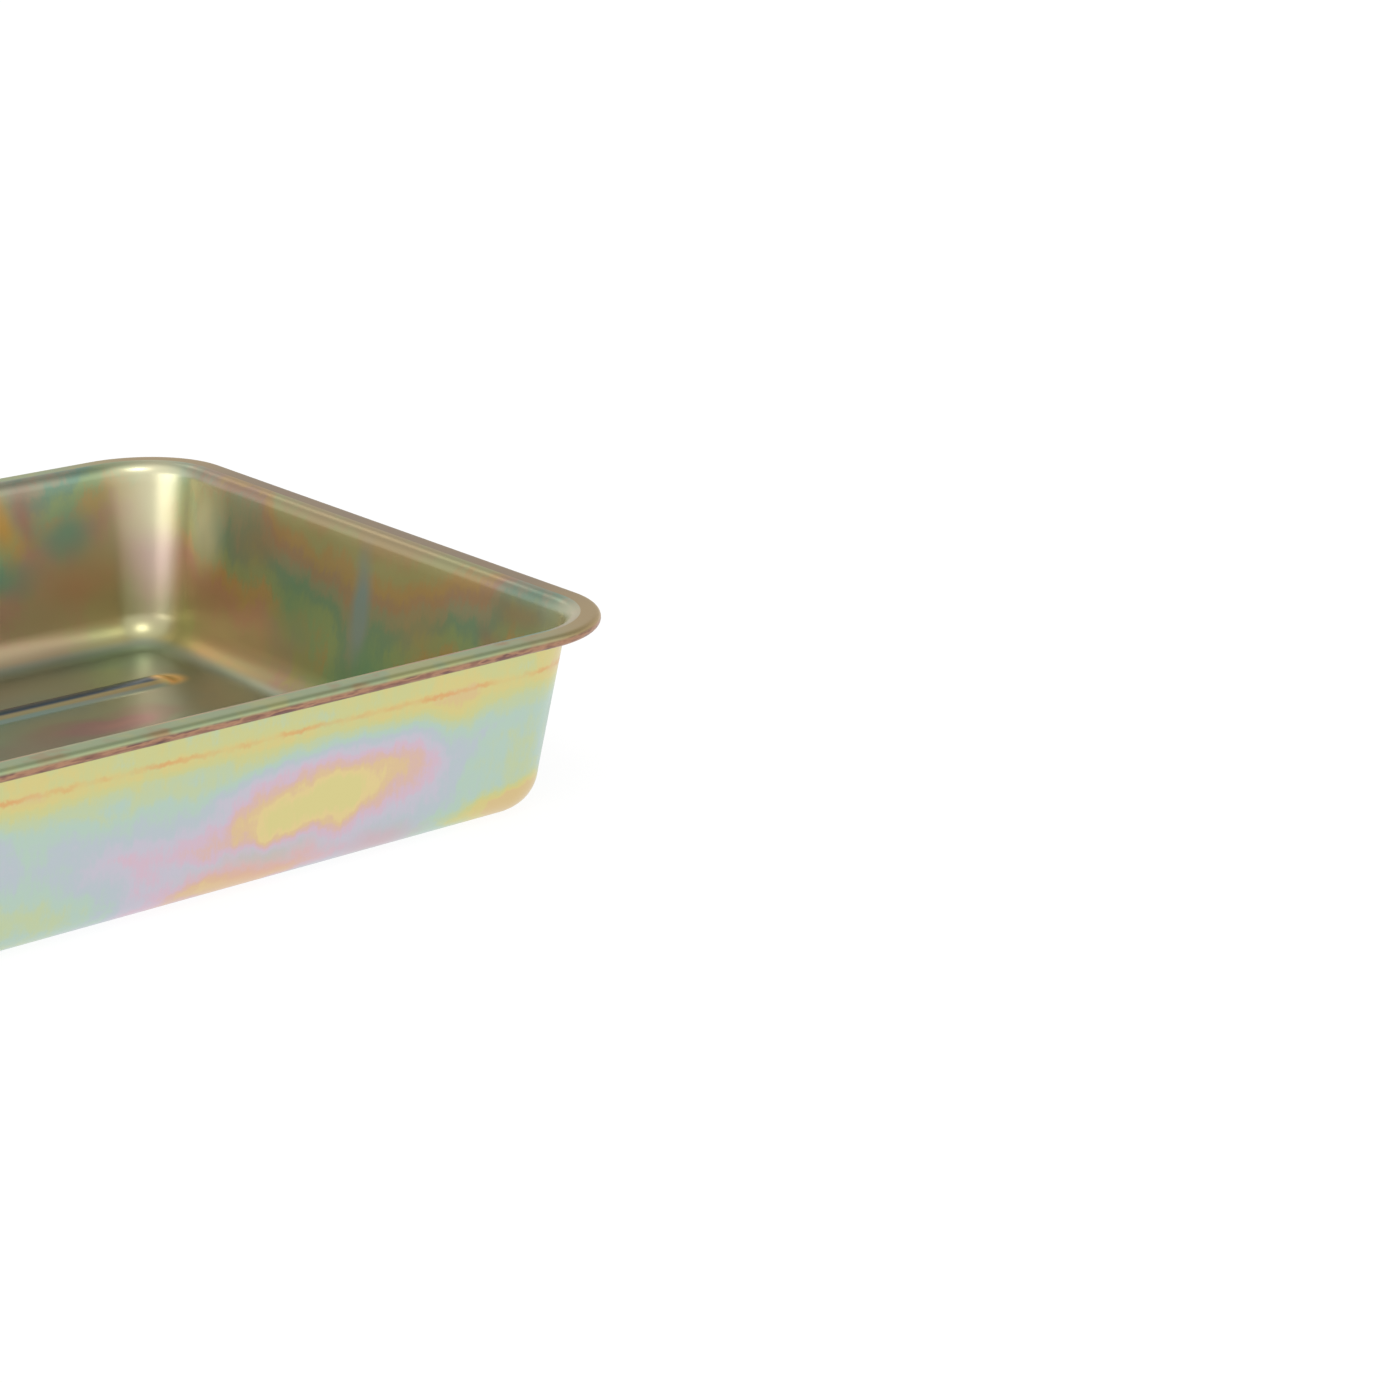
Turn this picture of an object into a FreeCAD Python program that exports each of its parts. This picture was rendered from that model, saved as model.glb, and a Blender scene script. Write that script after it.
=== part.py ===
import FreeCAD, Part
import os
import re
import Sketcher
from FreeCAD import Placement, Rotation, Vector
from math import radians, sin

# Paint roller tray for a nine inch roller: one deep drawn steel pan with a rolled rim, and a
# folding wire leg that holds up its shallow end.
# Frame: +X points to the deep end, +Z is up, the origin is under the middle of the rim at the
# level of the surface that the tray stands on. Millimetres and degrees.

doc = FreeCAD.newDocument("paint_roller_tray")
sheet = doc.addObject("Spreadsheet::Sheet", "Sizes")

# Each row: name, value or formula, what it measures.
sizes = [
    # pan
    ("rimLength", 380, "rim, outer edge to outer edge, along X"),
    ("rimWidth", 280, "rim, outer edge to outer edge, along Y"),
    ("panDepth", 65, "rim top to base"),
    ("sheetGauge", 0.6, "steel sheet"),
    ("flangeWidth", 10, "rim outer edge to wall, in the rim plane"),
    ("rimCorner", 34.5, "rim corner radius"),
    ("rimBend", 5, "inner bend from flange to wall"),
    ("curlRadius", 1.95, "outside of the rolled rim edge"),
    ("curlMouth", 20, "degrees from level where the roll's edge stops"),
    ("wallDraft", 9.7, "degrees that each wall leans out"),
    ("baseCorner", 18, "corner radius at the base"),
    ("baseFillet", 13.8, "outer round from wall to base"),
    ("rampFillet", 34, "outer round from base to ramp"),
    ("flatLength", 228, "deep end of the rim to the foot of the ramp"),
    ("shallowDepth", 20, "rim top to the ramp's upper end"),
    ("rampRun", "=rimLength - flatLength - flangeWidth - shallowDepth * tan(wallDraft * 1deg)",
     "foot of the ramp to the shallow wall, along X"),
    ("rampSlope", "=atan((panDepth - shallowDepth) / rampRun) / 1deg", "degrees"),
    ("rampFoot", "=rimLength / 2 - flatLength", "foot of the ramp, X"),
    # pressed beads
    ("ribHeight", 2.1, "long floor ribs, above the floor"),
    ("ribWidth", 12.5, "long floor ribs"),
    ("ribStart", 44, "deep end of the rim to the rib tips"),
    ("ribStop", 18, "rib ends to the foot of the ramp"),
    ("ribPitch", 72, "between the long ribs"),
    ("ribRadius", "=(ribWidth ^ 2 / 4 + ribHeight ^ 2) / (2 * ribHeight)", "section of the ribs"),
    ("beadHeight", 1.6, "short ramp beads, above the ramp"),
    ("beadWidth", 9, "short ramp beads"),
    ("beadLength", 24, "short ramp beads, up the slope"),
    ("beadFirst", 28, "foot of the ramp to the first row's middle"),
    ("beadRow", 32, "between rows in one column, up the slope"),
    ("beadColumn", 44, "between columns with the same rows, across"),
    ("beadRadius", "=(beadWidth ^ 2 / 4 + beadHeight ^ 2) / (2 * beadHeight)", "their section"),
    # leg
    ("wireRadius", 2.25, "leg wire"),
    ("wireBend", 6, "centreline radius of the leg's bends"),
    ("wireBevel", 0.6, "ends of the stubs"),
    ("legWidth", 180, "between the middles of the arms"),
    ("legLean", 12, "degrees that the open leg leans out"),
    ("stubLength", 24, "middle of an arm to the end of its stub"),
    ("pivotUp", 120, "foot of the ramp to the pivot, up the slope"),
    ("pivotDrop", "=wireRadius + 0.5", "ramp to pivot, so the wire clears the pan"),
    ("pivotX", "=rampFoot - pivotUp * cos(rampSlope * 1deg) - pivotDrop * sin(rampSlope * 1deg)",
     "pivot axis"),
    ("pivotZ", "=pivotUp * sin(rampSlope * 1deg) - pivotDrop * cos(rampSlope * 1deg)",
     "pivot axis"),
    ("sleeveRadius", 4, "foot sleeve, which stands on the ground"),
    ("sleeveLength", 20, "foot sleeve"),
    ("sleeveSpread", 124, "between the middles of the two sleeves"),
    ("sleeveRound", 1.2, "outer edges of the sleeve"),
    ("legLength", "=(pivotZ - sleeveRadius) / cos(legLean * 1deg)", "pivot to foot"),
    # clips and rivets
    ("clipGauge", 1.2, "clip strip"),
    ("clipWidth", 12, "clip strip, along Y"),
    ("clipMiddle", 77, "middle of the pan to the middle of a clip"),
    ("clipTab", 12, "each tab, up the slope"),
    ("clipBore", "=wireRadius + 0.1", "inside radius of the loop"),
    ("clipReach", "=clipBore + clipGauge + clipTab", "pivot to the end of a tab"),
    ("stopWidth", 11, "stop lip, beyond the strip"),
    ("stopLength", 9, "stop lip, pivot to its lower edge"),
    ("stopFace", "=wireRadius + 0.3", "pivot to the lip's face, across the arm"),
    ("stopLean", "=rampSlope - legLean", "degrees from the ramp's square to the open leg"),
    ("rivetShank", 1.6, "radius"),
    ("rivetHead", 3.2, "radius"),
    ("rivetDome", 1.5, "height of a head"),
    ("domeRadius", "=(rivetHead ^ 2 + rivetDome ^ 2) / (2 * rivetDome)", "round of a head"),
    ("rivetReach", "=clipBore + clipGauge + clipTab / 2", "pivot to rivet, along the slope"),
]

for row, (name, value, note) in enumerate(sizes, start=1):
    sheet.set("A%d" % row, note)
    sheet.set("B%d" % row, str(value))
    sheet.setAlias("B%d" % row, name)
doc.recompute()

namePattern = re.compile(r"\b(" + "|".join(name for name, value, note in sizes) + r")\b")


def number(expression):
    """Value of an expression in the sheet's sizes."""
    return float(sheet.evalExpression(expression))


def bind(item, target, expression):
    """Tie a property to the sheet."""
    item.setExpression(target, namePattern.sub(r"Sizes.\1", expression))


def newBody(name):
    body = doc.addObject("PartDesign::Body", name)
    body.Label = name
    return body


def originPlane(body, role):
    for feature in body.Origin.OriginFeatures:
        if feature.Role == role:
            return feature


def newSketch(body, name, role, lift=None, shift=None):
    """A sketch on one of the body's own planes, moved along its normal or its upright."""
    sketch = body.newObject("Sketcher::SketchObject", name)
    sketch.AttachmentSupport = (originPlane(body, role), [""])
    sketch.MapMode = "FlatFace"
    if lift:
        bind(sketch, ".AttachmentOffset.Base.z", lift)
    if shift:
        bind(sketch, ".AttachmentOffset.Base.y", shift)
    return sketch


def pin(sketch, curve, end, across, upright):
    """Hold one point of a curve at a place worked out from the sheet."""
    for kind, expression in (("DistanceX", across), ("DistanceY", upright)):
        if expression is None:
            continue
        index = sketch.addConstraint(Sketcher.Constraint(kind, -1, 1, curve, end, number(expression)))
        bind(sketch, "Constraints[%d]" % index, expression)


def addOutline(sketch, corners, arcs=None):
    """Closed outline through the corners. arcs gives, for the side that starts at that corner,
    the upright place of the arc's centre on the sketch's own axis, and the way that a half
    circle bulges."""
    arcs = arcs or {}
    points = [Vector(number(across), number(upright), 0) for across, upright in corners]
    count = len(points)
    for i in range(count):
        start = points[i]
        end = points[(i + 1) % count]
        if i in arcs:
            height, turn = arcs[i]
            centre = Vector(0, number(height), 0)
            chord = (start + end) * 0.5 - centre
            way = chord.normalize() if chord.Length > 0.01 else Vector(0, turn, 0)
            bulge = centre + way * (start - centre).Length
            sketch.addGeometry(Part.Arc(start, bulge, end), False)
        else:
            sketch.addGeometry(Part.LineSegment(start, end), False)
    for i in range(count):
        if i in arcs:
            continue
        pin(sketch, i, 1, *corners[i])
        if (i + 1) % count in arcs:
            pin(sketch, i, 2, *corners[(i + 1) % count])
        else:
            sketch.addConstraint(Sketcher.Constraint("Coincident", i, 2, (i + 1) % count, 1))
    for i in arcs:
        first, second = (1, 2) if (sketch.getPoint(i, 1) - points[i]).Length < 0.01 else (2, 1)
        sketch.addConstraint(Sketcher.Constraint("Coincident", (i - 1) % count, 2, i, first))
        sketch.addConstraint(Sketcher.Constraint("Coincident", i, second, (i + 1) % count, 1))
        pin(sketch, i, 3, None, arcs[i][0])


def addRoundedRectangle(sketch, halfLength, halfWidth, radius):
    """Rounded rectangle about the origin: sides 0, 2, 4, 6 and corners 1, 3, 5, 7."""
    a, b, r = number(halfLength), number(halfWidth), number(radius)
    middles = [
        Vector(a - r, r - b, 0),
        Vector(a - r, b - r, 0),
        Vector(r - a, b - r, 0),
        Vector(r - a, r - b, 0),
    ]
    for i in range(4):
        start = middles[i - 1] + Rotation(Vector(0, 0, 1), 90 * i).multVec(Vector(0, -r, 0))
        end = middles[i] + Rotation(Vector(0, 0, 1), 90 * i).multVec(Vector(0, -r, 0))
        sketch.addGeometry(Part.LineSegment(start, end), False)
        circle = Part.Circle(middles[i], Vector(0, 0, 1), r)
        sketch.addGeometry(Part.ArcOfCircle(circle, radians(90 * i - 90), radians(90 * i)), False)
    for i in range(8):
        sketch.addConstraint(Sketcher.Constraint("Tangent", i, 2, (i + 1) % 8, 1))
    for side, kind in ((0, "Horizontal"), (2, "Vertical"), (4, "Horizontal"), (6, "Vertical")):
        sketch.addConstraint(Sketcher.Constraint(kind, side))
    for corner in (3, 5, 7):
        sketch.addConstraint(Sketcher.Constraint("Equal", 1, corner))
    index = sketch.addConstraint(Sketcher.Constraint("Radius", 1, r))
    bind(sketch, "Constraints[%d]" % index, radius)
    sketch.addConstraint(Sketcher.Constraint("Symmetric", 1, 3, 5, 3, -1, 1))
    pin(sketch, 2, 1, halfLength, None)
    pin(sketch, 4, 1, None, halfWidth)


def edgeNames(shape, wanted):
    return ["Edge%d" % i for i, edge in enumerate(shape.Edges, start=1) if wanted(edge)]


def addFillet(body, name, radius, wanted):
    """Round the edges of the body's last feature that the test picks."""
    doc.recompute()
    base = body.Tip
    names = edgeNames(base.Shape, wanted)
    fillet = body.newObject("PartDesign::Fillet", name)
    fillet.Base = (base, names)
    bind(fillet, "Radius", radius)
    doc.recompute()
    print("%s %s: %d edges" % (body.Name, name, len(names)))
    return fillet


def cutWith(body, name, tools):
    cut = body.newObject("PartDesign::Boolean", name)
    cut.Type = "Cut"
    cut.setObjects(tools)
    doc.recompute()
    return cut


# ---- pan: solid blank, then the same blank one gauge smaller as the hollow ----

def addPanBlank(body, gauge, lid):
    """Tapered pan shape with its ramp. gauge moves it inwards, lid carries it above the rim."""
    inset = "(flangeWidth + %s / cos(wallDraft * 1deg) + (%%s) * tan(wallDraft * 1deg))" % gauge
    levels = [
        ("Top", "panDepth + %s" % lid, inset % ("0 - %s" % lid), "rimCorner - flangeWidth - %s" % gauge),
        ("Base", gauge, inset % ("panDepth - %s" % gauge), "baseCorner - %s" % gauge),
    ]
    sketches = []
    for label, height, edge, radius in levels:
        sketch = newSketch(body, body.Name + label, "XY_Plane", lift=height)
        addRoundedRectangle(sketch, "rimLength / 2 - " + edge, "rimWidth / 2 - " + edge, radius)
        sketches.append(sketch)
    loft = body.newObject("PartDesign::AdditiveLoft", body.Name + "Walls")
    loft.Profile = sketches[0]
    loft.Sections = [sketches[1]]
    loft.Ruled = True

    foot = "rampFoot + %s * tan(rampSlope * 0.5deg)" % gauge
    side = newSketch(body, body.Name + "RampSide", "XZ_Plane")
    addOutline(side, [
        (foot, gauge),
        (foot, "0 - panDepth"),
        (foot + " - rimLength", "0 - panDepth"),
        (foot + " - rimLength", gauge + " + rimLength * tan(rampSlope * 1deg)"),
    ])
    doc.recompute()
    volume = body.Shape.Volume
    ramp = body.newObject("PartDesign::Pocket", body.Name + "Ramp")
    ramp.Profile = side
    ramp.Type = "ThroughAll"
    ramp.Midplane = True
    doc.recompute()
    assert body.Shape.Volume < volume, "the ramp cuts nothing"

    top = number("panDepth + " + lid)
    footX = number(foot)
    addFillet(body, body.Name + "RampFoot", "rampFillet - %s" % gauge,
              lambda edge: abs(edge.BoundBox.XMax - footX) < 0.01 and edge.BoundBox.XLength < 0.01)
    nearFoot = number("rampFillet * tan(rampSlope * 0.5deg)") + 1
    addFillet(body, body.Name + "BaseRound", "baseFillet - %s" % gauge,
              lambda edge: edge.BoundBox.ZMax < top - 0.01
              and not (edge.BoundBox.XLength < 0.01 and abs(edge.BoundBox.XMax - footX) < nearFoot))


void = newBody("pan_void")
addPanBlank(void, "sheetGauge", "2")
pan = newBody("tray_pan")
addPanBlank(pan, "0", "0")


# ---- pressed beads: round bars that lie mostly under the sheet ----

def addBars(name, radius, start, end, height, across, along=None):
    """Round-ended bars along the body's X, with their axes at a height. across is the gap and the
    number of columns, centred on the middle, along the gap and number of rows towards -X."""
    body = newBody(name)
    gap, columns = across
    section = newSketch(body, name + "Section", "XZ_Plane", shift=height,
                        lift="%s * %s" % (gap, (columns - 1) / 2))
    size = number(radius)
    low, high = number(start), number(end)
    tips = [Vector(low, 0, 0), Vector(high, 0, 0)]
    shoulders = [Vector(low + size, size, 0), Vector(high - size, size, 0)]
    diagonal = size * sin(radians(45))
    bulges = [
        Vector(shoulders[0].x - diagonal, diagonal, 0),
        Vector(shoulders[1].x + diagonal, diagonal, 0),
    ]
    section.addGeometry(Part.Arc(tips[0], bulges[0], shoulders[0]), False)
    section.addGeometry(Part.LineSegment(shoulders[0], shoulders[1]), False)
    section.addGeometry(Part.Arc(shoulders[1], bulges[1], tips[1]), False)
    section.addGeometry(Part.LineSegment(tips[1], tips[0]), False)
    section.addConstraint(Sketcher.Constraint("Tangent", 0, 1, 1, 1))
    section.addConstraint(Sketcher.Constraint("Tangent", 1, 2, 2, 2))
    section.addConstraint(Sketcher.Constraint("Equal", 0, 2))
    section.addConstraint(Sketcher.Constraint("Coincident", 2, 1, 3, 1))
    section.addConstraint(Sketcher.Constraint("Coincident", 3, 2, 0, 2))
    pin(section, 3, 1, end, "0")
    pin(section, 3, 2, start, None)
    section.addConstraint(Sketcher.Constraint("PointOnObject", 0, 2, -1))
    section.addConstraint(Sketcher.Constraint("PointOnObject", 0, 3, -1))
    section.addConstraint(Sketcher.Constraint("PointOnObject", 2, 3, -1))
    index = section.addConstraint(Sketcher.Constraint("Radius", 0, size))
    bind(section, "Constraints[%d]" % index, radius)
    turn = body.newObject("PartDesign::Revolution", name + "Bar")
    turn.Profile = section
    turn.ReferenceAxis = (section, ["H_Axis"])
    turn.Angle = 360
    field = body.newObject("PartDesign::LinearPattern", name + "Field")
    field.Originals = [turn]
    field.Direction = (originPlane(body, "Y_Axis"), [""])
    field.Occurrences = columns
    bind(field, "Length", "%s * %d" % (gap, columns - 1))
    if along:
        pitch, rows = along
        field.Direction2 = (originPlane(body, "X_Axis"), [""])
        field.Reversed2 = True
        field.Occurrences2 = rows
        bind(field, "Length2", "%s * %d" % (pitch, rows - 1))
    body.Tip = field
    doc.recompute()
    print(name, len(body.Shape.Solids), "bars")
    return body


def onRamp(body):
    """The body's X runs down the ramp's outer face, its origin is at the foot."""
    body.Placement = Placement(Vector(), Rotation(Vector(0, 1, 0), number("rampSlope")))
    bind(body, ".Placement.Base.x", "rampFoot")
    bind(body, ".Placement.Rotation.Angle", "rampSlope * 1deg")


def addFloorRibs(name, gauge):
    """The three long ribs, or with a gauge the hollows under them."""
    return addBars(name, "ribRadius - " + gauge, "rampFoot + ribStop + " + gauge,
                   "rimLength / 2 - ribStart - " + gauge,
                   "sheetGauge + ribHeight - ribRadius", ("ribPitch", 3))


def addRampBeads(name, gauge, first, columns, rows):
    """One staggered set of short beads, or with a gauge the hollows under them."""
    body = addBars(name, "beadRadius - " + gauge,
                   "0 - (%s) - beadLength / 2 + %s" % (first, gauge),
                   "0 - (%s) + beadLength / 2 - %s" % (first, gauge),
                   "sheetGauge + beadHeight - beadRadius", ("beadColumn", columns), ("beadRow", rows))
    onRamp(body)
    return body


cutWith(void, "Ridges", [
    addFloorRibs("floor_ribs", "0"),
    addRampBeads("ramp_beads_outer", "0", "beadFirst", 5, 3),
    addRampBeads("ramp_beads_inner", "0", "beadFirst + beadRow / 2", 4, 2),
])
cutWith(pan, "Hollows", [
    addFloorRibs("floor_rib_hollows", "sheetGauge"),
    addRampBeads("ramp_bead_hollows_outer", "sheetGauge", "beadFirst", 5, 3),
    addRampBeads("ramp_bead_hollows_inner", "sheetGauge", "beadFirst + beadRow / 2", 4, 2),
])


# ---- pan: rim ----

flange = newSketch(pan, "FlangeOutline", "XY_Plane", lift="panDepth")
addRoundedRectangle(flange, "rimLength / 2 - curlRadius", "rimWidth / 2 - curlRadius",
                    "rimCorner - curlRadius")
rim = pan.newObject("PartDesign::Pad", "Flange")
rim.Profile = flange
rim.Reversed = True
bind(rim, "Length", "sheetGauge")
doc.recompute()


def rimEdge(height):
    """Test for the edges where the flange meets the wall at a height."""
    level = number(height)
    reachX = number("rimLength / 2 - flangeWidth") + 1
    reachY = number("rimWidth / 2 - flangeWidth") + 1

    def test(edge):
        box = edge.BoundBox
        flat = abs(box.ZMin - level) < 0.01 and box.ZLength < 0.01
        return flat and max(box.XMax, -box.XMin) < reachX and max(box.YMax, -box.YMin) < reachY

    return test


addFillet(pan, "BendUnderside", "rimBend - sheetGauge", rimEdge("panDepth - sheetGauge"))
cutWith(pan, "Hollow", [void])
addFillet(pan, "BendTop", "rimBend", rimEdge("panDepth"))


def addRimCurl():
    """The rim's edge, rolled down and under into an open tube."""
    middleX = "rimLength / 2 - curlRadius"
    middleZ = "panDepth - curlRadius"
    path = newSketch(pan, "CurlPath", "XY_Plane", lift=middleZ)
    addRoundedRectangle(path, middleX, "rimWidth / 2 - curlRadius", "rimCorner - curlRadius")
    section = newSketch(pan, "CurlSection", "XZ_Plane")
    centre = Vector(number(middleX), number(middleZ), 0)
    mouth = number("180 - curlMouth")
    for i, radius in enumerate(("curlRadius", "curlRadius - sheetGauge")):
        circle = Part.Circle(centre, Vector(0, 0, 1), number(radius))
        section.addGeometry(Part.ArcOfCircle(circle, radians(mouth), radians(450)), False)
        index = section.addConstraint(Sketcher.Constraint("Radius", i, number(radius)))
        bind(section, "Constraints[%d]" % index, radius)
    section.addConstraint(Sketcher.Constraint("Coincident", 0, 3, 1, 3))
    pin(section, 0, 3, middleX, middleZ)
    for i, radius in enumerate(("curlRadius", "(curlRadius - sheetGauge)")):
        pin(section, i, 1, None, middleZ + " + %s * sin(curlMouth * 1deg)" % radius)
        pin(section, i, 2, middleX, None)
    for line, end in ((2, 1), (3, 2)):
        outside, inside = [section.getPoint(i, end) for i in (0, 1)]
        section.addGeometry(Part.LineSegment(outside, inside), False)
        section.addConstraint(Sketcher.Constraint("Coincident", 0, end, line, 1))
        section.addConstraint(Sketcher.Constraint("Coincident", 1, end, line, 2))
    pipe = pan.newObject("PartDesign::AdditivePipe", "Curl")
    pipe.Profile = section
    pipe.Spine = (path, ["Edge%d" % i for i in range(1, 9)])
    doc.recompute()


addRimCurl()


# ---- pieces of the folding leg ----

def onPivot(body, side):
    """Origin on the ramp's outer face over the pivot, X down the ramp, side +1 for +Y."""
    body.Placement = Placement(Vector(), Rotation(Vector(0, 1, 0), number("rampSlope")))
    bind(body, ".Placement.Base.x", "rampFoot - pivotUp * cos(rampSlope * 1deg)")
    bind(body, ".Placement.Base.y", "%d * clipMiddle" % side)
    bind(body, ".Placement.Base.z", "pivotUp * sin(rampSlope * 1deg)")
    bind(body, ".Placement.Rotation.Angle", "rampSlope * 1deg")


def onLeg(body):
    """Origin on the pivot, -Z along the open leg."""
    body.Placement = Placement(Vector(), Rotation(Vector(0, 1, 0), number("legLean")))
    bind(body, ".Placement.Base.x", "pivotX")
    bind(body, ".Placement.Base.z", "pivotZ")
    bind(body, ".Placement.Rotation.Angle", "legLean * 1deg")


def addRivetHoles():
    holes = newSketch(pan, "RivetHoles", "XY_Plane")
    slope = number("rampSlope")
    holes.AttachmentOffset = Placement(Vector(), Rotation(Vector(0, 1, 0), slope))
    bind(holes, ".AttachmentOffset.Base.x", "rampFoot - pivotUp * cos(rampSlope * 1deg)")
    bind(holes, ".AttachmentOffset.Base.z", "pivotUp * sin(rampSlope * 1deg)")
    bind(holes, ".AttachmentOffset.Rotation.Angle", "rampSlope * 1deg")
    spots = [(end, side) for side in (1, -1) for end in (1, -1)]
    for i, (end, side) in enumerate(spots):
        across = "%d * rivetReach" % end
        upright = "%d * clipMiddle" % side
        centre = Vector(number(across), number(upright), 0)
        holes.addGeometry(Part.Circle(centre, Vector(0, 0, 1), number("rivetShank")), False)
        index = holes.addConstraint(Sketcher.Constraint("Radius", i, number("rivetShank")))
        bind(holes, "Constraints[%d]" % index, "rivetShank")
        pin(holes, i, 3, across, upright)
    doc.recompute()
    volume = pan.Shape.Volume
    cut = pan.newObject("PartDesign::Pocket", "Holes")
    cut.Profile = holes
    cut.Midplane = True
    bind(cut, "Length", "sheetGauge * 4")
    doc.recompute()
    assert pan.Shape.Volume < volume, "the rivet holes cut nothing"


addRivetHoles()


def addLeg():
    """One wire: stub, arm, foot bar, arm, stub."""
    body = newBody("support_leg")
    onLeg(body)
    half = "legWidth / 2"
    inner = "(legWidth / 2 - stubLength)"
    corners = [
        ("0 - " + inner, "0"),
        ("0 - " + half, "0"),
        ("0 - " + half, "0 - legLength"),
        (half, "0 - legLength"),
        (half, "0"),
        (inner, "0"),
    ]
    path = newSketch(body, "LegPath", "YZ_Plane")
    points = [Vector(number(across), number(upright), 0) for across, upright in corners]
    bend = number("wireBend")
    runs = len(points) - 1
    ways = [(points[i + 1] - points[i]).normalize() for i in range(runs)]
    for i in range(runs):
        start = points[i] + (ways[i] * bend if i else Vector())
        end = points[i + 1] - (ways[i] * bend if i < runs - 1 else Vector())
        path.addGeometry(Part.LineSegment(start, end), False)
    for i in range(runs - 1):
        start = points[i + 1] - ways[i] * bend
        end = points[i + 1] + ways[i + 1] * bend
        centre = start + ways[i + 1] * bend
        middle = centre + (points[i + 1] - centre).normalize() * bend
        path.addGeometry(Part.Arc(start, middle, end), False)
        arc = runs + i
        first, second = (1, 2) if (path.getPoint(arc, 1) - start).Length < bend / 10 else (2, 1)
        path.addConstraint(Sketcher.Constraint("Tangent", i, 2, arc, first))
        path.addConstraint(Sketcher.Constraint("Tangent", arc, second, i + 1, 1))
        index = path.addConstraint(Sketcher.Constraint("Radius", arc, bend))
        bind(path, "Constraints[%d]" % index, "wireBend")
    for i in range(runs):
        path.addConstraint(Sketcher.Constraint("Vertical" if i % 2 else "Horizontal", i))
    pin(path, 0, 1, *corners[0])
    pin(path, runs - 1, 2, *corners[-1])
    pin(path, 2, 1, None, corners[2][1])
    pin(path, 1, 1, corners[1][0], None)
    pin(path, 3, 1, corners[3][0], None)
    section = newSketch(body, "LegSection", "XZ_Plane", lift=inner)
    section.addGeometry(Part.Circle(Vector(), Vector(0, 0, 1), number("wireRadius")), False)
    section.addConstraint(Sketcher.Constraint("Coincident", 0, 3, -1, 1))
    index = section.addConstraint(Sketcher.Constraint("Radius", 0, number("wireRadius")))
    bind(section, "Constraints[%d]" % index, "wireRadius")
    wire = body.newObject("PartDesign::AdditivePipe", "Wire")
    wire.Profile = section
    wire.Spine = (path, [])
    doc.recompute()
    ends = edgeNames(wire.Shape, lambda edge: edge.Closed and edge.BoundBox.YLength < 0.01
                     and abs(abs(edge.BoundBox.YMax) - number(inner)) < 0.01)
    bevel = body.newObject("PartDesign::Chamfer", "StubEnds")
    bevel.Base = (wire, ends)
    bind(bevel, "Size", "wireBevel")
    doc.recompute()
    return body


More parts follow.
